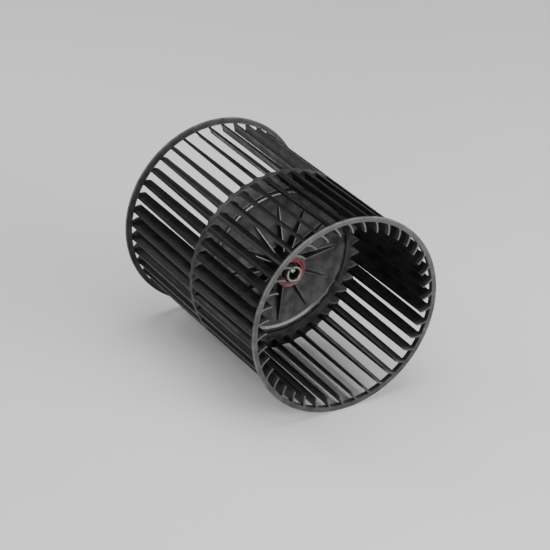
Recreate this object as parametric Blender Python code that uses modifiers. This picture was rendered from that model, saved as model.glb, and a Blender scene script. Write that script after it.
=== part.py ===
"""Double-inlet centrifugal blower wheel, moulded plastic, for a small heating or ventilation unit.

The wheel's axis is world Y and +Z is up. The origin is the middle of the wheel, on its axis.
The near end, which the hub's nose points to, is at -Y. Angles run from +Z towards +X.
Every shape is drawn with its local Z on the wheel's axis, towards the near end.
"""
import math

import bmesh
import bpy
from mathutils import Matrix

# Driving dimensions, in metres and degrees
WHEEL_RADIUS = 0.0750
WHEEL_LENGTH = 0.1910
FIT_GAP = 0.0003

RING_BORE_RADIUS = 0.0716
RING_FLANGE_THICKNESS = 0.0018
RING_LIP_THICKNESS = 0.0011
RING_DEPTH = 0.0041

VANES_PER_SIDE = 40
VANE_INNER_RADIUS = 0.0636
VANE_THICKNESS = 0.0015
VANE_ROOT_GROWTH = 0.0013
VANE_LEAN_AT_RING = 38.0
VANE_LEAN_AT_TIP = 14.0
FIRST_VANE_ANGLE = 0.9
RIM_GAP_ANGLE = 0.3
RIM_SHARE_START = -2.7

WEB_THICKNESS = 0.0028
WEB_RADIUS = 0.0627
RIM_SHARE_RADIUS = 0.0710
BEAD_RADIUS = 0.0547
BEAD_WIDTH = 0.0054
BEAD_HEIGHT = 0.0011

BOSS_RADIUS = 0.0121
BOSS_BORE_RADIUS = 0.0113
BOSS_NEAR_END = 0.0198
BOSS_FAR_END = -0.0060

ISOLATOR_BORE_RADIUS = 0.0067
ISOLATOR_CROWN = 0.0008
ISOLATOR_CROWN_RADIUS = 0.0078
ISOLATOR_GROOVE_FLOOR = 0.0168
ISOLATOR_RECESS = 0.0008

BUSH_RADIUS = 0.0064
BUSH_BORE_RADIUS = 0.0040
BUSH_NEAR_END = 0.0250
BUSH_FAR_END = -0.0070
RIM_CHAMFER = 0.0004

CLIP_THICKNESS = 0.0005
CLIP_WIDTH = 0.0030
CLIP_FLAT_DISTANCE = 0.0029
CLIP_INNER_LEG_END = 0.0080
CLIP_OUTER_LEG_END = 0.0190
CLIP_BEND_HEIGHT = 0.0252
CLIP_ANGLE = -28.0

RIB_COUNT = 12
RIB_THICKNESS = 0.0015
RIB_END_RADIUS = 0.0488
RIB_END_HEIGHT = 0.0022
RIB_HEIGHT_AT_AXIS = 0.0127
RIB_END_SLOPE = 0.0008

RING_SEGMENTS = 80
HUB_SEGMENTS = 40
CAMBER_STEPS = 3
CLIP_BEND_STEPS = 6
WELD_DISTANCE = 0.00001

VANE_OUTER_RADIUS = RING_BORE_RADIUS - FIT_GAP
VANE_PITCH = 360.0 / VANES_PER_SIDE
HALF_LENGTH = WHEEL_LENGTH / 2
HALF_WEB = WEB_THICKNESS / 2

# An outline drawn as (radius, height) stands up along local Z, with its radius along local Y
STAND_UP = Matrix(((0, 0, 1, 0), (1, 0, 0, 0), (0, 1, 0, 0), (0, 0, 0, 1)))


def clear_scene():
    for old in list(bpy.data.objects):
        bpy.data.objects.remove(old, do_unlink=True)


def make_collection(name):
    collection = bpy.data.collections.new(name)
    bpy.context.scene.collection.children.link(collection)
    return collection


def make_material(name, colour, roughness, metallic=0.0):
    material = bpy.data.materials.new(name)
    material.use_nodes = True
    shader = material.node_tree.nodes["Principled BSDF"]
    shader.inputs["Base Color"].default_value = (*colour, 1.0)
    shader.inputs["Roughness"].default_value = roughness
    shader.inputs["Metallic"].default_value = metallic
    return material


def place(name, mesh, collection, angle=0.0):
    """An object whose local Z lies on the wheel's axis, turned about that axis."""
    obj = bpy.data.objects.new(name, mesh)
    collection.objects.link(obj)
    obj.rotation_euler = (math.radians(90.0), math.radians(angle), 0.0)
    return obj


def turned(name, profile, segments, material, collection):
    """A solid of revolution from a closed (radius, height) profile, outer side downwards."""
    mesh = bpy.data.meshes.new(name)
    points = [(radius, 0.0, height) for radius, height in profile]
    count = len(points)
    mesh.from_pydata(points, [(i, (i + 1) % count) for i in range(count)], [])
    mesh.materials.append(material)
    obj = place(name, mesh, collection)
    screw = obj.modifiers.new("Turn", "SCREW")
    screw.steps = segments
    screw.render_steps = segments
    screw.use_merge_vertices = True
    screw.merge_threshold = WELD_DISTANCE
    return obj


def extruded_mesh(name, outline, low, high, material):
    """A closed flat outline drawn out along local Z, from low to high."""
    curve = bpy.data.curves.new(name, "CURVE")
    curve.dimensions = "2D"
    curve.fill_mode = "BOTH"
    curve.extrude = (high - low) / 2
    spline = curve.splines.new("POLY")
    spline.points.add(len(outline) - 1)
    for point, (x, y) in zip(spline.points, outline):
        point.co = (x, y, 0.0, 1.0)
    spline.use_cyclic_u = True
    source = bpy.data.objects.new(name, curve)
    bpy.context.scene.collection.objects.link(source)
    source.location.z = (high + low) / 2
    mesh = evaluated_mesh(source, name)
    bpy.data.objects.remove(source, do_unlink=True)
    weld(mesh)
    mesh.materials.clear()
    mesh.materials.append(material)
    return mesh


def tapered_mesh(name, low_outline, low, high_outline, high, material):
    """A solid between two flat outlines with as many points each, at two local Z heights."""
    work = bmesh.new()
    bottom = [work.verts.new((x, y, low)) for x, y in low_outline]
    top = [work.verts.new((x, y, high)) for x, y in high_outline]
    count = len(bottom)
    for i in range(count):
        j = (i + 1) % count
        work.faces.new((bottom[i], bottom[j], top[j], top[i]))
    work.faces.new(bottom[::-1])
    work.faces.new(top)
    bmesh.ops.triangulate(work, faces=work.faces)
    bmesh.ops.recalc_face_normals(work, faces=work.faces)
    mesh = bpy.data.meshes.new(name)
    work.to_mesh(mesh)
    work.free()
    mesh.materials.append(material)
    return mesh


def evaluated_mesh(obj, name):
    """A new mesh of an object as its modifiers leave it, moved by the object's location."""
    bpy.context.view_layer.update()
    evaluated = obj.evaluated_get(bpy.context.evaluated_depsgraph_get())
    mesh = bpy.data.meshes.new_from_object(evaluated)
    mesh.transform(Matrix.Translation(obj.location))
    mesh.name = name
    return mesh


def weld(mesh):
    work = bmesh.new()
    work.from_mesh(mesh)
    bmesh.ops.remove_doubles(work, verts=work.verts, dist=WELD_DISTANCE)
    bmesh.ops.recalc_face_normals(work, faces=work.faces)
    work.to_mesh(mesh)
    work.free()


def polar(radius, angle):
    return radius * math.sin(math.radians(angle)), radius * math.cos(math.radians(angle))


def swing(radius):
    """How far a vane has swung round, in degrees, on its way in from the end ring to a radius."""
    travel = VANE_OUTER_RADIUS - radius
    share = travel / (VANE_OUTER_RADIUS - VANE_INNER_RADIUS)
    mean_lean = VANE_LEAN_AT_RING + (VANE_LEAN_AT_TIP - VANE_LEAN_AT_RING) * share / 2
    sideways = math.tan(math.radians(mean_lean)) * travel
    return math.degrees(sideways / ((VANE_OUTER_RADIUS + radius) / 2))


def camber_line(outer, inner, offset):
    """Points on a line that leans as a vane does, an angle further round than the first vane."""
    radii = [outer + (inner - outer) * i / CAMBER_STEPS for i in range(CAMBER_STEPS + 1)]
    return [polar(r, FIRST_VANE_ANGLE + offset + swing(r)) for r in radii]


def vane_outline(offset, growth):
    """A vane's curved section: its camber line made thick, and thicker still on the inner face."""
    half = VANE_THICKNESS / 2
    camber = camber_line(VANE_OUTER_RADIUS - half, VANE_INNER_RADIUS, offset)
    one_side, other_side = [], []
    for i, (x, y) in enumerate(camber):
        before_x, before_y = camber[max(i - 1, 0)]
        after_x, after_y = camber[min(i + 1, CAMBER_STEPS)]
        along_x, along_y = after_x - before_x, after_y - before_y
        length = math.hypot(along_x, along_y)
        across_x, across_y = -along_y / length, along_x / length
        one_side.append((x + across_x * half, y + across_y * half))
        other_side.append((x - across_x * (half + growth), y - across_y * (half + growth)))
    return one_side + other_side[::-1]


def rim_outline():
    """The share of the web's rim that carries one near and one far vane, with leaning sides."""
    inner = WEB_RADIUS + FIT_GAP
    first = RIM_SHARE_START + RIM_GAP_ANGLE / 2
    last = RIM_SHARE_START + VANE_PITCH - RIM_GAP_ANGLE / 2
    middle = FIRST_VANE_ANGLE + (first + last) / 2
    inner_middle = polar(inner, middle + swing(inner))
    outer_middle = polar(RIM_SHARE_RADIUS, middle + swing(RIM_SHARE_RADIUS))
    one_side = camber_line(RIM_SHARE_RADIUS, inner, first)
    other_side = camber_line(RIM_SHARE_RADIUS, inner, last)
    return one_side + [inner_middle] + other_side[::-1] + [outer_middle]


def join_tool(base, mesh, cutters):
    tool = place(mesh.name, mesh, cutters)
    tool.hide_render = True
    tool.display_type = "WIRE"
    union = base.modifiers.new("Join " + mesh.name, "BOOLEAN")
    union.operation = "UNION"
    union.solver = "EXACT"
    union.object = tool


def make_vane_pairs(material, collection, cutters):
    """A near vane and a far vane, half a pitch apart, joined by their share of the web's rim."""
    overlap = HALF_WEB / 2
    rim = place("rim_share", extruded_mesh("rim_share", rim_outline(), -HALF_WEB, HALF_WEB, material), cutters)
    for name, side, offset in (("near_vane", 1, 0.0), ("far_vane", -1, VANE_PITCH / 2)):
        root, end = vane_outline(offset, VANE_ROOT_GROWTH), vane_outline(offset, 0.0)
        join_tool(rim, tapered_mesh(name, root, -side * overlap, end, side * HALF_LENGTH, material), cutters)
    pair_mesh = evaluated_mesh(rim, "vane_pair")
    for tool in list(cutters.objects):
        bpy.data.objects.remove(tool, do_unlink=True)
    for i in range(VANES_PER_SIDE):
        place(f"vane_pair_{i + 1:02d}", pair_mesh, collection, VANE_PITCH * i)


def make_end_ring(name, facing, material, collection):
    """An L-section ring outside the vanes' ends: a wide flange with a thin lip behind it."""
    face = facing * HALF_LENGTH
    flange_back = facing * (HALF_LENGTH - RING_FLANGE_THICKNESS)
    lip_end = facing * (HALF_LENGTH - RING_DEPTH)
    lip_radius = RING_BORE_RADIUS + RING_LIP_THICKNESS
    profile = [
        (WHEEL_RADIUS, face),
        (WHEEL_RADIUS, flange_back),
        (lip_radius, flange_back),
        (lip_radius, lip_end),
        (RING_BORE_RADIUS, lip_end),
        (RING_BORE_RADIUS, face),
    ]
    if facing < 0:
        profile.reverse()
    turned(name, profile, RING_SEGMENTS, material, collection)


def make_web(material, collection):
    """The flat centre disc, with a round stiffening bead on its near face."""
    bore = BOSS_RADIUS + FIT_GAP
    bead_top = HALF_WEB + BEAD_HEIGHT
    profile = [
        (WEB_RADIUS, HALF_WEB),
        (WEB_RADIUS, -HALF_WEB),
        (bore, -HALF_WEB),
        (bore, HALF_WEB),
        (BEAD_RADIUS - BEAD_WIDTH / 2, HALF_WEB),
        (BEAD_RADIUS - BEAD_WIDTH / 4, bead_top),
        (BEAD_RADIUS + BEAD_WIDTH / 4, bead_top),
        (BEAD_RADIUS + BEAD_WIDTH / 2, HALF_WEB),
    ]
    turned("web_disc", profile, RING_SEGMENTS, material, collection)


def make_boss(material, collection):
    """The hub's outer wall, standing from the web towards the near end."""
    profile = [
        (BOSS_RADIUS - RIM_CHAMFER, BOSS_NEAR_END),
        (BOSS_RADIUS, BOSS_NEAR_END - RIM_CHAMFER),
        (BOSS_RADIUS, BOSS_FAR_END),
        (BOSS_BORE_RADIUS, BOSS_FAR_END),
        (BOSS_BORE_RADIUS, BOSS_NEAR_END),
    ]
    turned("hub_boss", profile, HUB_SEGMENTS, material, collection)


def make_isolator(material, collection):
    """The elastic ring between the boss and the bush, with a raised crown and a groove inside it."""
    radius = BOSS_BORE_RADIUS - FIT_GAP
    near_end = BOSS_NEAR_END + ISOLATOR_CROWN
    far_end = BOSS_FAR_END + ISOLATOR_RECESS
    profile = [
        (radius - RIM_CHAMFER, near_end),
        (radius, near_end - RIM_CHAMFER),
        (radius, far_end),
        (ISOLATOR_BORE_RADIUS, far_end),
        (ISOLATOR_BORE_RADIUS, ISOLATOR_GROOVE_FLOOR),
        (ISOLATOR_CROWN_RADIUS, ISOLATOR_GROOVE_FLOOR),
        (ISOLATOR_CROWN_RADIUS, near_end - RIM_CHAMFER),
        (ISOLATOR_CROWN_RADIUS + RIM_CHAMFER, near_end),
    ]
    turned("hub_isolator", profile, HUB_SEGMENTS, material, collection)


def make_bush(material, collection):
    """The metal sleeve that slides onto the motor shaft."""
    profile = [
        (BUSH_RADIUS - RIM_CHAMFER, BUSH_NEAR_END),
        (BUSH_RADIUS, BUSH_NEAR_END - RIM_CHAMFER),
        (BUSH_RADIUS, BUSH_FAR_END),
        (BUSH_BORE_RADIUS, BUSH_FAR_END),
        (BUSH_BORE_RADIUS, BUSH_NEAR_END),
    ]
    turned("shaft_bush", profile, HUB_SEGMENTS, material, collection)


def clip_bend(radius, centre, start, end):
    """Points round the clip's fold, in its (radius, height) outline."""
    points = []
    for i in range(CLIP_BEND_STEPS + 1):
        angle = start + (end - start) * i / CLIP_BEND_STEPS
        points.append((centre + radius * math.cos(angle), CLIP_BEND_HEIGHT + radius * math.sin(angle)))
    return points


def make_shaft_clip(material, collection):
    """A spring strip that lies on the shaft's flat, folds over the bush and grips its outside."""
    inner_face = CLIP_FLAT_DISTANCE
    outer_face = BUSH_RADIUS + FIT_GAP + CLIP_THICKNESS
    centre = (inner_face + outer_face) / 2
    outside_bend = (outer_face - inner_face) / 2
    inside_bend = outside_bend - CLIP_THICKNESS
    outline = [(outer_face, CLIP_OUTER_LEG_END)]
    outline += clip_bend(outside_bend, centre, 0.0, math.pi)
    outline += [(inner_face, CLIP_INNER_LEG_END), (inner_face + CLIP_THICKNESS, CLIP_INNER_LEG_END)]
    outline += clip_bend(inside_bend, centre, math.pi, 0.0)
    outline += [(outer_face - CLIP_THICKNESS, CLIP_OUTER_LEG_END)]
    mesh = extruded_mesh("shaft_clip", outline, -CLIP_WIDTH / 2, CLIP_WIDTH / 2, material)
    mesh.transform(STAND_UP)
    place("shaft_clip", mesh, collection, CLIP_ANGLE)


def make_ribs(material, collection):
    """Tapering gussets from the boss out across the web's near face."""
    foot = HALF_WEB + FIT_GAP
    start = BOSS_RADIUS + FIT_GAP
    fall = (RIB_HEIGHT_AT_AXIS - RIB_END_HEIGHT) / RIB_END_RADIUS
    outline = [
        (start, foot),
        (RIB_END_RADIUS, foot),
        (RIB_END_RADIUS - RIB_END_SLOPE, RIB_END_HEIGHT),
        (start, RIB_HEIGHT_AT_AXIS - fall * start),
    ]
    mesh = extruded_mesh("gusset_rib", outline, -RIB_THICKNESS / 2, RIB_THICKNESS / 2, material)
    mesh.transform(STAND_UP)
    for i in range(RIB_COUNT):
        place(f"gusset_rib_{i + 1:02d}", mesh, collection, 360.0 / RIB_COUNT * i)


def shade_round_pieces(collection, crease_angle=30.0):
    for obj in collection.objects:
        obj.data.shade_smooth()
        obj.data.set_sharp_from_angle(angle=math.radians(crease_angle))


def main():
    clear_scene()
    wheel = make_collection("blower_wheel")
    cutters = make_collection("cutters")
    plastic = make_material("charcoal_plastic", (0.035, 0.036, 0.036), 0.42)
    rubber = make_material("crimson_rubber", (0.22, 0.015, 0.03), 0.55)
    steel = make_material("bush_steel", (0.45, 0.44, 0.43), 0.35, 1.0)
    spring = make_material("spring_steel", (0.62, 0.61, 0.62), 0.25, 1.0)
    make_end_ring("inlet_ring_near", 1, plastic, wheel)
    make_end_ring("inlet_ring_far", -1, plastic, wheel)
    make_vane_pairs(plastic, wheel, cutters)
    make_web(plastic, wheel)
    make_ribs(plastic, wheel)
    make_boss(plastic, wheel)
    make_isolator(rubber, wheel)
    make_bush(steel, wheel)
    make_shaft_clip(spring, wheel)
    shade_round_pieces(wheel)


main()
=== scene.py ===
"""Looks of a double-inlet blower wheel in charcoal moulded plastic, with a sprung steel hub.

The wheel's axis is world Y and its near end, which the hub's nose points to, is at -Y.
"Height" below means distance from the web's middle towards the near end, which is -Y.
Angles run from +Z towards +X.
"""
import math

import bmesh
import bpy
from mathutils import Matrix, Vector


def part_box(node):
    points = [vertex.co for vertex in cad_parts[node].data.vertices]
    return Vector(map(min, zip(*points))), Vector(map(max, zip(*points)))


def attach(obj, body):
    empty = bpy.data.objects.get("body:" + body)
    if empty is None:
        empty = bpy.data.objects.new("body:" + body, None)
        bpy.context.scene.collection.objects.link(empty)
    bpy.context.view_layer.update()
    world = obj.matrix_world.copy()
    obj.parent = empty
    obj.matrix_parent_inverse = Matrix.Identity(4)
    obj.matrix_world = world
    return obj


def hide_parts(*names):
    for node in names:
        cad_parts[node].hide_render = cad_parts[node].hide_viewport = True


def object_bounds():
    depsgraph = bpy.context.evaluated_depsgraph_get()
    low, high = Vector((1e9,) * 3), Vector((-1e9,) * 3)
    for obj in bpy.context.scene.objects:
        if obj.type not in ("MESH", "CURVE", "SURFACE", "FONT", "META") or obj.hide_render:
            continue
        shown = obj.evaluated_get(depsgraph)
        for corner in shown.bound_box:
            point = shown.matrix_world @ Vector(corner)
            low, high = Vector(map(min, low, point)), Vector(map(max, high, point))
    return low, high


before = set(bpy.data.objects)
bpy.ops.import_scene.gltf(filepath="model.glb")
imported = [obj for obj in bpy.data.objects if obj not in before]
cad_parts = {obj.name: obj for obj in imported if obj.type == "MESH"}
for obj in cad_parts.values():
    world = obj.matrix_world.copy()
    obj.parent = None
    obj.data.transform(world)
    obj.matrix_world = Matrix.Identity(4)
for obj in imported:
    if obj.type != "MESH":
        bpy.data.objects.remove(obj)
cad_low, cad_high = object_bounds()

# Sizes read from the frame, in metres
ring_low, ring_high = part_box("inlet_ring_far")
web_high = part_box("web_disc")[1]
boss_low, boss_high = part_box("hub_boss")
isolator_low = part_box("hub_isolator")[0]
bush_low, bush_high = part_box("shaft_bush")
rib_low, rib_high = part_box("gusset_rib_01")
WHEEL_RADIUS = ring_high.x
HALF_LENGTH = ring_high.y
RING_DEPTH = ring_high.y - ring_low.y
WEB_HALF = web_high.y
BOSS_RADIUS = boss_high.x
BOSS_NEAR = -boss_low.y
BOSS_FAR = -boss_high.y
ISOLATOR_NEAR = -isolator_low.y
BUSH_RADIUS = bush_high.x
BUSH_NEAR = -bush_low.y
BUSH_FAR = -bush_high.y
RIB_END_RADIUS = rib_high.z
RIB_ROOT_HEIGHT = -rib_low.y

# Moulding details, in metres and degrees
RING_BORE = 0.0712
RING_FLANGE = 0.0018
RING_LIP = 0.0012
VANES = 40
PITCH = 360.0 / VANES
FIRST_VANE = 0.9
VANE_OUTER = 0.0713
VANE_INNER = 0.0636
VANE_HALF_THICKNESS = 0.00078
VANE_TIP_THINNING = 0.00012
VANE_ROOT_GROWTH = 0.0014
VANE_NOSE = 0.0009
VANE_CORNER = 0.0003
LEAN_AT_RING = 38.0
LEAN_AT_TIP = 14.0
VANE_ROOT_FILLET = 0.0013
VANE_RING_FILLET = 0.0007
VANE_FLARE_PULL = 1.2
VANE_END_EDGE = 0.0001
WEB_EDGE = 0.0711
RIM_STEP_RADIUS = 0.0580
RIM_STEP = 0.0004
BEAD_RADIUS = 0.0547
BEAD_HALF_WIDTH = 0.0028
BEAD_HEIGHT = 0.0011
RIBS = 12
RIB_TOP_HALF = 0.00055
RIB_FOOT_HALF = 0.00085
RIB_FILLET = 0.0007
RIB_TOP_ROUND = 0.0002
RIB_END_RISE = 0.0008
RIB_END_ROUND = 0.001
BOSS_BORE = 0.0113
BOSS_FILLET = 0.0012
ISOLATOR_BORE = 0.0065
ISOLATOR_CROWN = 0.0078
ISOLATOR_GROOVE_FLOOR = 0.0168
BUSH_BORE = 0.0040
CLIP_THICKNESS = 0.0005
CLIP_HALF_WIDTH = 0.0015
CLIP_ANGLE = -28.0
CLIP_FLAT = 0.0029
CLIP_INNER_END = 0.0081
CLIP_END_TAPER = 0.78
WEB_FINISH_END = 0.0024
SUNK = 0.0003

# How finely the curved shapes are divided
RING_STEPS = 240
HUB_STEPS = 96
ARC_STEPS = 5
FACE_STEPS = 10
NOSE_STEPS = 8
CORNER_STEPS = 3
ROOT_STEPS = 6
BEAD_STEPS = 14
RIB_STEPS = 8
RIB_FILLET_STEPS = 5
RIB_ROUND_STEPS = 4
CLIP_LEG_STEPS = 6
CLIP_BEND_STEPS = 12


def to_world(radius, angle, height):
    """A point from its distance from the axis, its angle in degrees and its height."""
    turn = math.radians(angle)
    return Vector((radius * math.sin(turn), -height, radius * math.cos(turn)))


def spoke(angle):
    """Directions straight out from the axis at an angle, and across that, clockwise."""
    turn = math.radians(angle)
    return Vector((math.sin(turn), 0, math.cos(turn))), Vector((math.cos(turn), 0, -math.sin(turn)))


def finish_mesh(name, work, material, nodes, crease=32.0):
    """Turns a bmesh into a smooth-shaded piece that rides on the wheel and replaces CAD nodes."""
    bmesh.ops.recalc_face_normals(work, faces=work.faces)
    mesh = bpy.data.meshes.new(name)
    work.to_mesh(mesh)
    work.free()
    mesh.shade_smooth()
    mesh.set_sharp_from_angle(angle=math.radians(crease))
    mesh.materials.append(material)
    piece = bpy.data.objects.new(name, mesh)
    bpy.context.scene.collection.objects.link(piece)
    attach(piece, "root")
    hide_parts(*nodes)
    return piece


def rounded(corners, steps=ARC_STEPS):
    """A closed outline from (x, y, radius) corners, each corner rounded to its radius."""
    outline = []
    count = len(corners)
    for i, (x, y, radius) in enumerate(corners):
        here = Vector((x, y))
        before = Vector(corners[i - 1][:2]) - here
        after = Vector(corners[(i + 1) % count][:2]) - here
        if radius == 0.0:
            outline.append(here)
            continue
        half_angle = before.angle(after) / 2
        reach = radius / math.tan(half_angle)
        start = here + before.normalized() * reach
        end = here + after.normalized() * reach
        inwards = (before.normalized() + after.normalized()).normalized()
        centre = here + inwards * radius / math.sin(half_angle)
        first, last = start - centre, end - centre
        sweep = first.angle_signed(last)
        for j in range(steps + 1):
            outline.append(centre + Matrix.Rotation(-sweep * j / steps, 2) @ first)
    return outline


def turned(name, profile, steps, material, slot, *nodes):
    """A ring turned about the wheel's axis from a closed (radius, height) outline."""
    work = bmesh.new()
    rings = []
    for i in range(steps):
        angle = 360.0 * i / steps
        rings.append([work.verts.new(to_world(p[0], angle, p[1])) for p in profile])
    count = len(profile)
    for i in range(steps):
        here, there = rings[i], rings[(i + 1) % steps]
        for j in range(count):
            k = (j + 1) % count
            work.faces.new((here[j], here[k], there[k], there[j]))
    return finish_mesh(name, work, material, nodes)


def loft(name, sections, material, slot, *nodes):
    """A solid through a row of closed sections with equal point counts, capped at both ends."""
    work = bmesh.new()
    rows = [[work.verts.new(point) for point in section] for section in sections]
    count = len(rows[0])
    for here, there in zip(rows, rows[1:]):
        for j in range(count):
            k = (j + 1) % count
            work.faces.new((here[j], here[k], there[k], there[j]))
    work.faces.new(rows[0][::-1])
    work.faces.new(rows[-1])
    return finish_mesh(name, work, material, nodes)


def fillet(distance, radius):
    """How far a fillet of that radius stands out, at a distance from the wall that it meets."""
    if distance >= radius:
        return 0.0
    inside = radius - max(distance, 0.0)
    return radius - math.sqrt(radius * radius - inside * inside)


def swing(radius):
    """How far a vane has swung round, in degrees, on its way in from its outer edge."""
    travel = VANE_OUTER - radius
    share = travel / (VANE_OUTER - VANE_INNER)
    lean = LEAN_AT_RING + (LEAN_AT_TIP - LEAN_AT_RING) * share / 2
    return math.degrees(math.tan(math.radians(lean)) * travel / ((VANE_OUTER + radius) / 2))


def vane_face(radius, offset):
    """A point on a face of the vane, which lies at an offset across it from its camber line."""
    share = (VANE_OUTER - radius) / (VANE_OUTER - VANE_INNER)
    lean = math.radians(LEAN_AT_RING + (LEAN_AT_TIP - LEAN_AT_RING) * share)
    angle = math.radians(swing(radius)) + offset / (math.cos(lean) * radius)
    return Vector((radius * math.sin(angle), radius * math.cos(angle)))


def bent(start, corner, end, steps):
    """Points on a rounded corner, drawn towards the sharp corner and away again."""
    points = []
    for i in range(steps + 1):
        share = i / steps
        points.append(start * (1 - share) ** 2 + corner * 2 * share * (1 - share) + end * share ** 2)
    return points


def vane_section(growth, fatter, ring_flare):
    """A vane's closed section: two curved faces, a round nose and a rounded outer edge.

    Growth thickens it behind its inner face only; fatter thickens it all round.
    """
    nose_radius = VANE_INNER + VANE_NOSE
    sides = []
    for side in (1.0, -1.0):
        outer_half = VANE_HALF_THICKNESS + fatter + (growth if side < 0 else 0.0)
        points = []
        for i in range(FACE_STEPS + 1):
            share = i / FACE_STEPS
            radius = VANE_OUTER - VANE_CORNER + (nose_radius - VANE_OUTER + VANE_CORNER) * share
            flare = ring_flare * fillet((VANE_OUTER - radius) * VANE_FLARE_PULL, VANE_RING_FILLET)
            half = outer_half - VANE_TIP_THINNING * share + flare
            points.append(vane_face(radius, side * half))
        half = outer_half + ring_flare * VANE_RING_FILLET / 2
        corner = vane_face(VANE_OUTER, side * half)
        eased = vane_face(VANE_OUTER, side * (half - VANE_CORNER))
        sides.append(bent(eased, corner, points[0], CORNER_STEPS)[:-1] + points)
    lower, upper = sides[0][-1], sides[1][-1]
    middle, half_span = (lower + upper) / 2, (lower - upper) / 2
    inwards = Vector((half_span.y, -half_span.x)).normalized() * (VANE_NOSE + fatter / 2)
    nose = []
    for i in range(1, NOSE_STEPS):
        angle = math.pi * i / NOSE_STEPS
        nose.append(middle + half_span * math.cos(angle) + inwards * math.sin(angle))
    return sides[0] + nose + sides[1][::-1]


def vane_stations():
    """Heights along a vane, each with its root fillet and its flare inside the end ring's lip."""
    foot = WEB_HALF + RIM_STEP
    stations = [(foot - SUNK * 2, VANE_ROOT_FILLET, 0.0)]
    for i in range(ROOT_STEPS + 1):
        rise = VANE_ROOT_FILLET * (1 - math.cos(math.pi / 2 * i / ROOT_STEPS))
        stations.append((foot + rise, fillet(rise, VANE_ROOT_FILLET), 0.0))
    lip = HALF_LENGTH - RING_DEPTH
    middle = (foot + lip) / 2
    stations += [(middle, 0.0, 0.0), (lip - VANE_RING_FILLET, 0.0, 0.0)]
    stations += [(lip - VANE_RING_FILLET / 3, 0.0, 0.3), (lip, 0.0, 1.0)]
    stations += [(HALF_LENGTH - VANE_END_EDGE, 0.0, 1.0), (HALF_LENGTH, -VANE_END_EDGE, 1.0)]
    return stations


def make_vanes(plastic):
    """Both rows of vanes. The far row stands half a pitch round from the near one."""
    stations = []
    for height, fatter, flare in vane_stations():
        growth = VANE_ROOT_GROWTH * (1.0 - height / HALF_LENGTH)
        stations.append((height, vane_section(growth, fatter, flare)))
    for i in range(VANES):
        for row, side, offset in (("near", 1.0, 0.0), ("far", -1.0, PITCH / 2)):
            turn = math.radians(FIRST_VANE + offset + PITCH * i)
            cosine, sine = math.cos(turn), math.sin(turn)
            sections = []
            for height, outline in stations:
                sections.append([
                    (p.x * cosine + p.y * sine, -side * height, p.y * cosine - p.x * sine) for p in outline
                ])
            name = f"{row}_vane_{i + 1:02d}"
            loft(name, sections, plastic, "wheel_plastic", f"vane_pair_{i + 1:02d}")


def make_end_ring(end, side, plastic):
    """The L-section ring round the vanes' ends: a flat flange with a thin lip behind it."""
    face = side * HALF_LENGTH
    back = side * (HALF_LENGTH - RING_FLANGE)
    lip_end = side * (HALF_LENGTH - RING_DEPTH)
    lip = RING_BORE + RING_LIP
    edge, rim_round, corner_fillet = 0.00025, 0.0004, 0.0005
    profile = rounded([
        (WHEEL_RADIUS, face, rim_round),
        (WHEEL_RADIUS, back, rim_round),
        (lip, back, corner_fillet),
        (lip, lip_end, edge),
        (RING_BORE, lip_end, edge),
        (RING_BORE, face, edge),
    ])
    turned(f"{end}_end_ring", profile, RING_STEPS, plastic, "wheel_plastic", f"inlet_ring_{end}")


def bead_points():
    """A half-round ridge on the web's near face, from the inside out."""
    points = []
    for i in range(BEAD_STEPS + 1):
        share = -1.0 + 2.0 * i / BEAD_STEPS
        rise = BEAD_HEIGHT * math.cos(math.pi / 2 * share) ** 1.25
        points.append(Vector((BEAD_RADIUS + BEAD_HALF_WIDTH * share, WEB_HALF + rise)))
    return points


def make_web(plastic):
    """The centre disc between the two rows of vanes, with a bead and a slightly raised rim."""
    top = WEB_HALF + RIM_STEP
    outside = rounded([
        (RIM_STEP_RADIUS, WEB_HALF, 0.0),
        (RIM_STEP_RADIUS + RIM_STEP * 0.7, top, 0.00015),
        (WEB_EDGE, top, 0.0005),
        (WEB_EDGE, -top, 0.0005),
        (RIM_STEP_RADIUS + RIM_STEP * 0.7, -top, 0.00015),
        (RIM_STEP_RADIUS, -WEB_HALF, 0.0),
        (BOSS_RADIUS - SUNK, -WEB_HALF, 0.0),
        (BOSS_RADIUS - SUNK, WEB_HALF, 0.0),
    ])
    profile = outside + [Vector((BOSS_RADIUS + 0.012, WEB_HALF)), *bead_points()]
    turned("centre_web", profile, RING_STEPS, plastic, "wheel_plastic", "web_disc")


def make_boss(plastic):
    """The hub's outer wall, with fillets where it stands out of the web."""
    fillet_radius = BOSS_FILLET * 0.98
    foot = BOSS_RADIUS + BOSS_FILLET
    sunk = WEB_HALF - SUNK
    profile = rounded([
        (BOSS_RADIUS, BOSS_NEAR, 0.0004),
        (BOSS_RADIUS, WEB_HALF, fillet_radius),
        (foot, WEB_HALF, 0.0),
        (foot, sunk, 0.0),
        (foot, -sunk, 0.0),
        (foot, -WEB_HALF, 0.0),
        (BOSS_RADIUS, -WEB_HALF, fillet_radius),
        (BOSS_RADIUS, BOSS_FAR, 0.0004),
        (BOSS_BORE, BOSS_FAR, 0.0003),
        (BOSS_BORE, BOSS_NEAR, 0.0003),
    ])
    turned("boss_wall", profile, HUB_STEPS, plastic, "wheel_plastic", "hub_boss")


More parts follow.
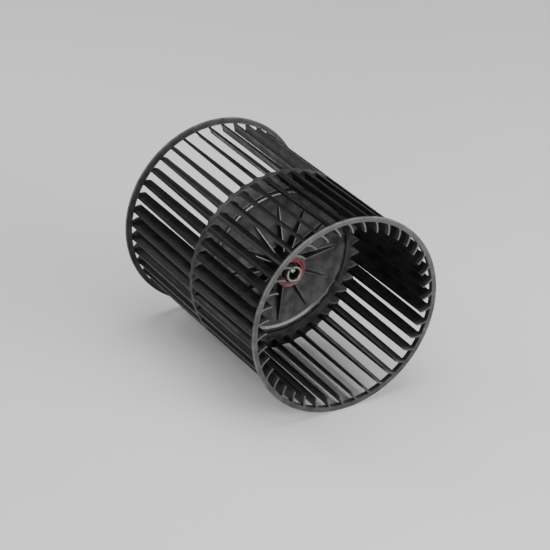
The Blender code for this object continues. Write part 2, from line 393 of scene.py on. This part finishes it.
def rib_section(radius, height, wider, angle):
    """A rib's section across its run: filleted feet, drafted sides and a rounded top."""
    low = WEB_HALF - SUNK
    rise = max(height - WEB_HALF, 0.00005)
    largest = rise * 0.45
    top_round = min(RIB_TOP_ROUND, largest)
    foot = min(RIB_FILLET, largest)
    half_foot = RIB_FOOT_HALF + wider
    half_top = RIB_TOP_HALF + wider
    feet, top = [], []
    for i in range(RIB_ROUND_STEPS + 1):
        turn = math.pi / 2 * i / RIB_ROUND_STEPS
        sine, cosine = math.sin(turn), math.cos(turn)
        feet.append((half_foot + foot * (1 - sine), WEB_HALF + foot * (1 - cosine)))
        top.append((half_top - top_round * (1 - cosine), height - top_round * (1 - sine)))
    points = [(half_foot + foot, low), *feet, *top]
    points += [(-x, y) for x, y in reversed(points)]
    out, across = spoke(angle)
    return [out * radius + across * x + Vector((0, -y, 0)) for x, y in points]


def make_ribs(plastic):
    """Gussets that taper from the boss out across the web's near face."""
    start = BOSS_RADIUS - SUNK
    end_height = WEB_HALF + RIB_END_RISE
    straight_end = RIB_END_RADIUS - RIB_END_ROUND
    slope = (RIB_ROOT_HEIGHT - end_height) / (RIB_END_RADIUS - BOSS_RADIUS)
    stations = []
    for i in range(RIB_FILLET_STEPS + 1):
        radius = start + (RIB_FILLET + SUNK) * i / RIB_FILLET_STEPS
        stations.append((radius, fillet(radius - BOSS_RADIUS, RIB_FILLET)))
    straight_start = stations[-1][0]
    for i in range(1, RIB_STEPS + 1):
        stations.append((straight_start + (straight_end - straight_start) * i / RIB_STEPS, 0.0))
    for i in range(RIBS):
        angle = 360.0 / RIBS * i
        sections = []
        for radius, wider in stations:
            height = RIB_ROOT_HEIGHT - slope * (radius - BOSS_RADIUS)
            sections.append(rib_section(radius, height, wider, angle))
        for j in range(1, RIB_ROUND_STEPS + 1):
            turn = math.pi / 2 * j / RIB_ROUND_STEPS
            radius = straight_end + RIB_END_ROUND * math.sin(turn)
            height = WEB_HALF + (end_height - WEB_HALF) * math.cos(turn)
            narrower = -RIB_TOP_HALF * 0.7 * (1 - math.cos(turn))
            sections.append(rib_section(radius, height, narrower, angle))
        number = f"{i + 1:02d}"
        loft(f"web_rib_{number}", sections, plastic, "wheel_plastic", f"gusset_rib_{number}")


def make_isolator(rubber):
    """The elastic ring in the boss: a rounded crown, with a deep groove between it and the bush."""
    outer = BOSS_BORE + 0.0001
    far = BOSS_FAR + 0.0008
    lip = ISOLATOR_NEAR - 0.0007
    middle = (outer + ISOLATOR_CROWN) / 2
    profile = rounded([
        (outer, lip, 0.0003),
        (outer, far, 0.0002),
        (ISOLATOR_BORE, far, 0.0002),
        (ISOLATOR_BORE, ISOLATOR_GROOVE_FLOOR, 0.0002),
        (ISOLATOR_CROWN, ISOLATOR_GROOVE_FLOOR, 0.0004),
        (ISOLATOR_CROWN, ISOLATOR_NEAR, 0.0004),
        (ISOLATOR_CROWN + 0.0011, ISOLATOR_NEAR, 0.0004),
        (middle, lip - 0.0003, 0.0006),
        (outer - 0.0009, ISOLATOR_NEAR - 0.0001, 0.0005),
    ])
    turned("isolator_ring", profile, HUB_STEPS, rubber, "isolator_rubber", "hub_isolator")


def make_bush(steel):
    """The turned sleeve for the motor shaft, chamfered inside and out."""
    bevel = 0.0004
    mouth = 0.0008
    ease = 0.0001
    profile = rounded([
        (BUSH_RADIUS - bevel, BUSH_NEAR, ease),
        (BUSH_RADIUS, BUSH_NEAR - bevel, ease),
        (BUSH_RADIUS, BUSH_FAR + bevel, ease),
        (BUSH_RADIUS - bevel, BUSH_FAR, ease),
        (BUSH_BORE + bevel, BUSH_FAR, ease),
        (BUSH_BORE, BUSH_FAR + bevel, ease),
        (BUSH_BORE, BUSH_NEAR - mouth, ease),
        (BUSH_BORE + mouth, BUSH_NEAR, ease),
    ], steps=2)
    turned("bush_sleeve", profile, HUB_STEPS, steel, "bush_steel", "shaft_bush")


def clip_path():
    """The strip's middle line as (radius, height): up the bore, over the rim and down outside."""
    inner = CLIP_FLAT + CLIP_THICKNESS / 2
    outer = BUSH_RADIUS + SUNK + CLIP_THICKNESS / 2
    centre, bend = (inner + outer) / 2, (outer - inner) / 2
    rim = BUSH_NEAR + 0.0002
    straight = CLIP_INNER_END + 0.0019
    path = [(inner + 0.0003, CLIP_INNER_END), (inner + 0.0001, CLIP_INNER_END + 0.0011)]
    path += [(inner, straight + (rim - straight) * i / CLIP_LEG_STEPS) for i in range(CLIP_LEG_STEPS)]
    for i in range(CLIP_BEND_STEPS + 1):
        angle = math.pi * (1 - i / CLIP_BEND_STEPS)
        path.append((centre + bend * math.cos(angle), rim + bend * math.sin(angle)))
    path += [(outer, rim - 0.0015), (outer, rim - 0.0032), (outer + 0.0001, rim - 0.0046)]
    path += [(outer + 0.0003, rim - 0.0056)]
    return [Vector(p) for p in path]


def make_clip(spring):
    """The spring strip that makes the bore's flat, folded over the bush's near rim."""
    path = clip_path()
    last = len(path) - 1
    out, across = spoke(CLIP_ANGLE)
    half = CLIP_THICKNESS / 2
    ease = 0.00012
    sections = []
    for i, point in enumerate(path):
        along = (path[min(i + 1, last)] - path[max(i - 1, 0)]).normalized()
        normal = Vector((-along.y, along.x))
        width = CLIP_HALF_WIDTH * (CLIP_END_TAPER if i in (0, last) else 1.0)
        corners = rounded([
            (width, half, ease), (-width, half, ease), (-width, -half, ease), (width, -half, ease),
        ], steps=3)
        section = []
        for corner in corners:
            flat = point + normal * corner.y
            section.append(out * flat.x + across * corner.x + Vector((0, -flat.y, 0)))
        sections.append(section)
    loft("clip_strip", sections, spring, "clip_steel", "shaft_clip")


class Shader:
    """A material's node tree, with short ways to add and join nodes."""

    def __init__(self, name, colour, roughness, metallic=0.0):
        self.material = bpy.data.materials.new(name)
        self.material.use_nodes = True
        self.tree = self.material.node_tree
        self.surface = self.tree.nodes["Principled BSDF"]
        self.surface.inputs["Base Color"].default_value = (*colour, 1.0)
        self.surface.inputs["Roughness"].default_value = roughness
        self.surface.inputs["Metallic"].default_value = metallic
        self.place = self.node("ShaderNodeTexCoord").outputs["Object"]

    def node(self, kind, **settings):
        """Adds a node of that kind, with its settings."""
        made = self.tree.nodes.new(kind)
        for key, value in settings.items():
            setattr(made, key, value)
        return made

    def join(self, output, target):
        """Links one node's output to another's input."""
        self.tree.links.new(output, target)

    def noise(self, scale, stretch=(1, 1, 1), detail=4.0, roughness=0.55, source=None):
        """Noise in metres: scale is in features a metre, stretched along each axis."""
        mapping = self.node("ShaderNodeMapping")
        mapping.inputs["Scale"].default_value = stretch
        self.join(source or self.place, mapping.inputs["Vector"])
        noise = self.node("ShaderNodeTexNoise")
        noise.inputs["Scale"].default_value = scale
        noise.inputs["Detail"].default_value = detail
        noise.inputs["Roughness"].default_value = roughness
        self.join(mapping.outputs["Vector"], noise.inputs["Vector"])
        return noise.outputs["Fac"]

    def spread(self, value, low, high, to_low, to_high):
        """Maps a value from one range to another, held inside it."""
        ranged = self.node("ShaderNodeMapRange")
        for key, number in zip(("From Min", "From Max", "To Min", "To Max"), (low, high, to_low, to_high)):
            ranged.inputs[key].default_value = number
        self.join(value, ranged.inputs["Value"])
        return ranged.outputs["Result"]

    def rise(self, value, low, high):
        """0 up to low, and 1 from high on."""
        return self.spread(value, low, high, 0.0, 1.0)

    def fall(self, value, low, high):
        """1 up to low, and 0 from high on."""
        return self.spread(value, low, high, 1.0, 0.0)

    def combine(self, operation, *values):
        """Adds or multiplies a row of values, each another node's output."""
        total = values[0]
        for value in values[1:]:
            step = self.node("ShaderNodeMath", operation=operation)
            self.join(total, step.inputs[0])
            self.join(value, step.inputs[1])
            total = step.outputs[0]
        return total

    def mix(self, share, first, second):
        """Mixes two colours, each a tuple or another node's output."""
        mixer = self.node("ShaderNodeMix", data_type="RGBA")
        self.join(share, mixer.inputs["Factor"])
        for socket, colour in ((mixer.inputs[6], first), (mixer.inputs[7], second)):
            if isinstance(colour, tuple):
                socket.default_value = (*colour, 1.0)
            else:
                self.join(colour, socket)
        return mixer.outputs[2]

    def along_axis(self, vector):
        """How long a vector is along the wheel's axis, either way."""
        parts = self.node("ShaderNodeSeparateXYZ")
        self.join(vector, parts.inputs[0])
        length = self.node("ShaderNodeMath", operation="ABSOLUTE")
        self.join(parts.outputs["Y"], length.inputs[0])
        return length.outputs[0]

    def across_axis(self):
        """The place with its part along the wheel's axis taken out."""
        flat = self.node("ShaderNodeVectorMath", operation="MULTIPLY")
        flat.inputs[1].default_value = (1, 0, 1)
        self.join(self.place, flat.inputs[0])
        return flat.outputs[0]

    def around_axis(self):
        """A seamless direction round the wheel's axis, for streaks that run outwards."""
        direction = self.node("ShaderNodeVectorMath", operation="NORMALIZE")
        self.join(self.across_axis(), direction.inputs[0])
        return direction.outputs[0]

    def axis_distance(self):
        """Distance from the wheel's axis."""
        length = self.node("ShaderNodeVectorMath", operation="LENGTH")
        self.join(self.across_axis(), length.inputs[0])
        return length.outputs["Value"]

    def bump(self, height, strength, distance, under=None):
        """A normal from a height, on top of another normal where one is given."""
        bump = self.node("ShaderNodeBump")
        bump.inputs["Strength"].default_value = strength
        bump.inputs["Distance"].default_value = distance
        self.join(height, bump.inputs["Height"])
        if under is not None:
            self.join(under, bump.inputs["Normal"])
        return bump.outputs["Normal"]


def charcoal(lightness):
    """A dark grey with a trace of warmth."""
    return lightness, lightness, lightness * 0.967


class PlasticZones:
    """Shares from 0 to 1 that say where the wheel's plastic differs from that of its vanes.

    The web is the disc's faces, painted lighter than the vanes as painted light, the ends are the end
    rings and the vanes' ends, and the lands are the narrow faces between them that look along the
    axis, such as the ribs' tops, which carry a painted highlight. The groove carries painted shade.
    """

    def __init__(self, shader, mottle):
        radius = shader.axis_distance()
        from_middle = shader.along_axis(shader.place)
        facing_an_end = shader.along_axis(shader.node("ShaderNodeNewGeometry").outputs["Normal"])
        lip_end = HALF_LENGTH - RING_DEPTH
        bead_side = BEAD_RADIUS + BEAD_HALF_WIDTH * 0.6
        bead_foot = BEAD_RADIUS + BEAD_HALF_WIDTH
        self.web = shader.fall(from_middle, WEB_FINISH_END, WEB_FINISH_END + 0.0006)
        self.web_edge = shader.rise(radius, WEB_EDGE - 0.0004, WEB_EDGE - 0.0001)
        # Painted shade: the channel between the bead's foot and the rim step is darkened in the colour.
        self.groove = shader.combine(
            "MULTIPLY",
            shader.rise(radius, bead_foot - 0.0011, bead_foot - 0.0004),
            shader.fall(radius, RIM_STEP_RADIUS + 0.0001, RIM_STEP_RADIUS + 0.0004),
        )
        self.ends = shader.rise(from_middle, lip_end, lip_end + 0.0008)
        self.ring_edge = shader.rise(radius, WHEEL_RADIUS - 0.0008, WHEEL_RADIUS - 0.0002)
        self.lands = shader.combine(
            "MULTIPLY",
            shader.rise(from_middle, WEB_FINISH_END - 0.0002, WEB_FINISH_END + 0.0002),
            shader.rise(facing_an_end, 0.80, 0.93),
            shader.spread(mottle, 0.35, 0.60, 0.35, 1.0),
            shader.fall(self.ends, 0.0, 1.0),
        )
        self.gloss = shader.combine(
            "MULTIPLY",
            self.web,
            shader.spread(radius, BEAD_RADIUS - 0.0035, BEAD_RADIUS, 0.4, 1),
            shader.spread(radius, bead_side, RIM_STEP_RADIUS + 0.0005, 1, 0.12),
        )


def plastic_tone(shader, zones, mottle, draw_marks):
    """Cloudy charcoal: scuffed ends, worn corners and lighter ring rims, with the web and its edge painted
    lighter as painted light, a painted highlight on the lands and painted shade in the bead's groove.
    """
    cloud = shader.rise(mottle, 0.40, 0.60)
    tone = shader.mix(cloud, charcoal(0.0042), charcoal(0.013))
    tone = shader.mix(shader.spread(draw_marks, 0.4, 0.75, 0, 0.35), tone, charcoal(0.018))
    # Painted light: the web is painted lighter than the vanes, though it is the same plastic.
    web = shader.mix(cloud, charcoal(0.011), charcoal(0.032))
    # Painted light: the web's outer edge is painted lighter to stand in for light at the rim.
    painted_light_web_edge = shader.mix(cloud, charcoal(0.022), charcoal(0.048))
    web = shader.mix(zones.web_edge, web, painted_light_web_edge)
    # Painted shade darkens the bead's groove.
    web = shader.mix(zones.groove, web, charcoal(0.003))
    tone = shader.mix(zones.web, tone, web)
    scuffs = shader.mix(cloud, charcoal(0.022), charcoal(0.040))
    # The end rings' outer rims are painted much lighter.
    lighter_ring_edge = shader.mix(cloud, charcoal(0.06), charcoal(0.13))
    tone = shader.mix(zones.ends, tone, shader.mix(zones.ring_edge, scuffs, lighter_ring_edge))
    # Painted highlight: the lands, such as the ribs' tops, are painted lighter to stand in for their
    # bright lines.
    tone = shader.mix(shader.spread(zones.lands, 0.0, 1.0, 0.0, 0.8), tone, charcoal(0.05))
    pointiness = shader.node("ShaderNodeNewGeometry").outputs["Pointiness"]
    return shader.mix(shader.spread(pointiness, 0.52, 0.62, 0, 0.5), tone, charcoal(0.10))


def charcoal_plastic():
    """Satin moulded plastic with fine grain, draw marks, glossy lands and a glossy bead."""
    shader = Shader("charcoal_plastic", charcoal(0.03), 0.38)
    shader.surface.inputs["Specular IOR Level"].default_value = 0.17
    shader.surface.inputs["Coat Roughness"].default_value = 0.16
    mottle = shader.noise(95, detail=6.0, roughness=0.62)
    draw_marks = shader.noise(900, stretch=(1, 0.02, 1), detail=3.0)
    flow = shader.noise(26, source=shader.around_axis(), detail=3.0)
    zones = PlasticZones(shader, mottle)
    shader.join(plastic_tone(shader, zones, mottle, draw_marks), shader.surface.inputs["Base Color"])
    shine = shader.combine("ADD", shader.spread(zones.gloss, 0.0, 1.0, 0.0, 0.48), zones.lands)
    shader.join(shine, shader.surface.inputs["Coat Weight"])
    roughness = shader.combine(
        "ADD",
        shader.spread(mottle, 0.38, 0.62, 0.29, 0.44),
        shader.spread(draw_marks, 0.3, 0.7, 0.0, 0.08),
        shader.spread(flow, 0.3, 0.7, 0.0, 0.06),
        shader.spread(zones.gloss, 0.0, 1.0, 0.0, -0.12),
        shader.spread(zones.ends, 0.0, 1.0, 0.0, 0.12),
    )
    shader.join(roughness, shader.surface.inputs["Roughness"])
    grain = shader.noise(2600, detail=2.0)
    ripple = shader.noise(140, stretch=(1, 0.25, 1), detail=2.0)
    normal = shader.bump(ripple, 0.22, 0.0004)
    normal = shader.bump(grain, 0.12, 0.00006, under=normal)
    shader.join(normal, shader.surface.inputs["Normal"])
    return shader.material


def crimson_rubber():
    """A deep red elastomer with a soft sheen and a fine moulded grain."""
    shader = Shader("crimson_rubber", (0.25, 0.012, 0.03), 0.5)
    shader.surface.inputs["Specular IOR Level"].default_value = 0.35
    mottle = shader.noise(420, detail=4.0)
    tone = shader.mix(shader.rise(mottle, 0.35, 0.7), (0.045, 0.002, 0.006), (0.11, 0.006, 0.015))
    shader.join(tone, shader.surface.inputs["Base Color"])
    shader.join(shader.spread(mottle, 0.3, 0.7, 0.36, 0.55), shader.surface.inputs["Roughness"])
    shader.join(shader.bump(shader.noise(3200, detail=2.0), 0.2, 0.00008), shader.surface.inputs["Normal"])
    return shader.material


def turned_steel():
    """Plain lathe-turned steel with fine rings and thin oil stains."""
    shader = Shader("turned_steel", (0.5, 0.49, 0.48), 0.3, 1.0)
    stain = shader.noise(300, detail=4.0)
    tone = shader.mix(shader.rise(stain, 0.4, 0.7), (0.16, 0.158, 0.152), (0.085, 0.082, 0.078))
    shader.join(tone, shader.surface.inputs["Base Color"])
    shader.join(shader.spread(stain, 0.3, 0.7, 0.34, 0.5), shader.surface.inputs["Roughness"])
    lathe = shader.noise(9000, source=shader.axis_distance(), detail=2.0)
    passes = shader.noise(7000, stretch=(0.02, 1, 0.02), detail=2.0)
    normal = shader.bump(passes, 0.25, 0.00004)
    shader.join(shader.bump(lathe, 0.25, 0.00004, under=normal), shader.surface.inputs["Normal"])
    return shader.material


def spring_steel():
    """Bright rolled strip with a faint straw tint and rolling scratches."""
    shader = Shader("spring_steel", (0.66, 0.65, 0.66), 0.24, 1.0)
    tint = shader.noise(260, detail=3.0)
    tone = shader.mix(shader.rise(tint, 0.4, 0.7), (0.22, 0.215, 0.24), (0.14, 0.137, 0.155))
    shader.join(tone, shader.surface.inputs["Base Color"])
    scratch = shader.noise(5200, stretch=(1, 0.04, 1), detail=2.0)
    shader.join(shader.spread(scratch, 0.3, 0.7, 0.50, 0.68), shader.surface.inputs["Roughness"])
    shader.join(shader.bump(scratch, 0.15, 0.00003), shader.surface.inputs["Normal"])
    return shader.material


def make_floor():
    """A plain pale floor that the wheel lies on."""
    floor_paint = Shader("pale_floor", (0.78, 0.78, 0.77), 0.7)
    mottle = floor_paint.noise(3.0, detail=3.0)
    cloud = floor_paint.rise(mottle, 0.3, 0.7)
    tone = floor_paint.mix(cloud, (0.77, 0.77, 0.76), (0.79, 0.79, 0.785))
    floor_paint.join(tone, floor_paint.surface.inputs["Base Color"])
    work = bmesh.new()
    bmesh.ops.create_grid(work, x_segments=1, y_segments=1, size=4.0)
    mesh = bpy.data.meshes.new("floor")
    work.to_mesh(mesh)
    work.free()
    mesh.materials.append(floor_paint.material)
    floor = bpy.data.objects.new("floor", mesh)
    floor.location.z = cad_low.z
    bpy.context.scene.collection.objects.link(floor)


def make_light(name, place, size, watts, aim=(0, 0, 0)):
    """A soft rectangular lamp that faces its aim. Only its light is seen, not the lamp."""
    lamp = bpy.data.lights.new(name, "AREA")
    lamp.shape = "RECTANGLE"
    lamp.size, lamp.size_y = size
    lamp.energy = watts
    light = bpy.data.objects.new(name, lamp)
    light.location = place
    light.rotation_euler = (Vector(aim) - Vector(place)).to_track_quat("-Z", "Y").to_euler()
    light.visible_camera = False
    bpy.context.scene.collection.objects.link(light)


def make_studio():
    """Dim cool surroundings, a large panel before the near end and another above the wheel.

    Two small panels stand to the left, one beyond the far end and one before the near end. The
    bounce card lies on the floor in front and faces up.
    """
    world = bpy.data.worlds.new("studio")
    world.use_nodes = True
    backdrop = world.node_tree.nodes["Background"]
    backdrop.inputs["Color"].default_value = (0.93, 0.94, 0.96, 1.0)
    backdrop.inputs["Strength"].default_value = 0.18
    bpy.context.scene.world = world
    make_light("front_panel", (0.66, -1.38, 0.36), (1.5, 0.72), 42, aim=(0.2, -0.45, -0.08))
    make_light("top_panel", (0.1, 0.1, 2.0), (1.8, 1.8), 32)
    make_light("left_panel", (-0.55, 0.8, 0.75), (0.5, 0.5), 4, aim=(0, 0.09, 0))
    make_light("side_panel", (-0.80, -1.05, 0.26), (0.7, 0.35), 7, aim=(0, 0, 0))
    make_light("bounce_card", (0.24, -0.44, -0.072), (0.36, 0.36), 3.8, aim=(0.24, -0.44, 1.0))


# The camera's place: degrees round and up from the near end, metres back, and its lens in mm
VIEW_AZIMUTH = -30.25
VIEW_ELEVATION = 28.38
VIEW_DISTANCE = 1.6274
VIEW_LENS = 146.7
AIM_RIGHT = -0.0015
AIM_UP = -0.0105


def make_camera():
    """A long lens that looks from above and to the left of the near end."""
    azimuth, elevation = math.radians(VIEW_AZIMUTH), math.radians(VIEW_ELEVATION)
    back = Vector((
        math.sin(azimuth) * math.cos(elevation),
        -math.cos(azimuth) * math.cos(elevation),
        math.sin(elevation),
    ))
    right = Vector((math.cos(azimuth), math.sin(azimuth), 0.0))
    up = back.cross(right)
    lens = bpy.data.cameras.new("camera")
    lens.lens = VIEW_LENS
    lens.clip_start = 0.05
    lens.clip_end = 20.0
    camera = bpy.data.objects.new("camera", lens)
    camera.location = right * AIM_RIGHT + up * AIM_UP + back * VIEW_DISTANCE
    camera.rotation_euler = (-back).to_track_quat("-Z", "Y").to_euler()
    bpy.context.scene.collection.objects.link(camera)
    bpy.context.scene.camera = camera


make_camera()
make_floor()
make_studio()
plastic = charcoal_plastic()
make_end_ring("near", 1.0, plastic)
make_end_ring("far", -1.0, plastic)
make_vanes(plastic)
make_web(plastic)
make_ribs(plastic)
make_boss(plastic)
make_isolator(crimson_rubber())
make_bush(turned_steel())
make_clip(spring_steel())
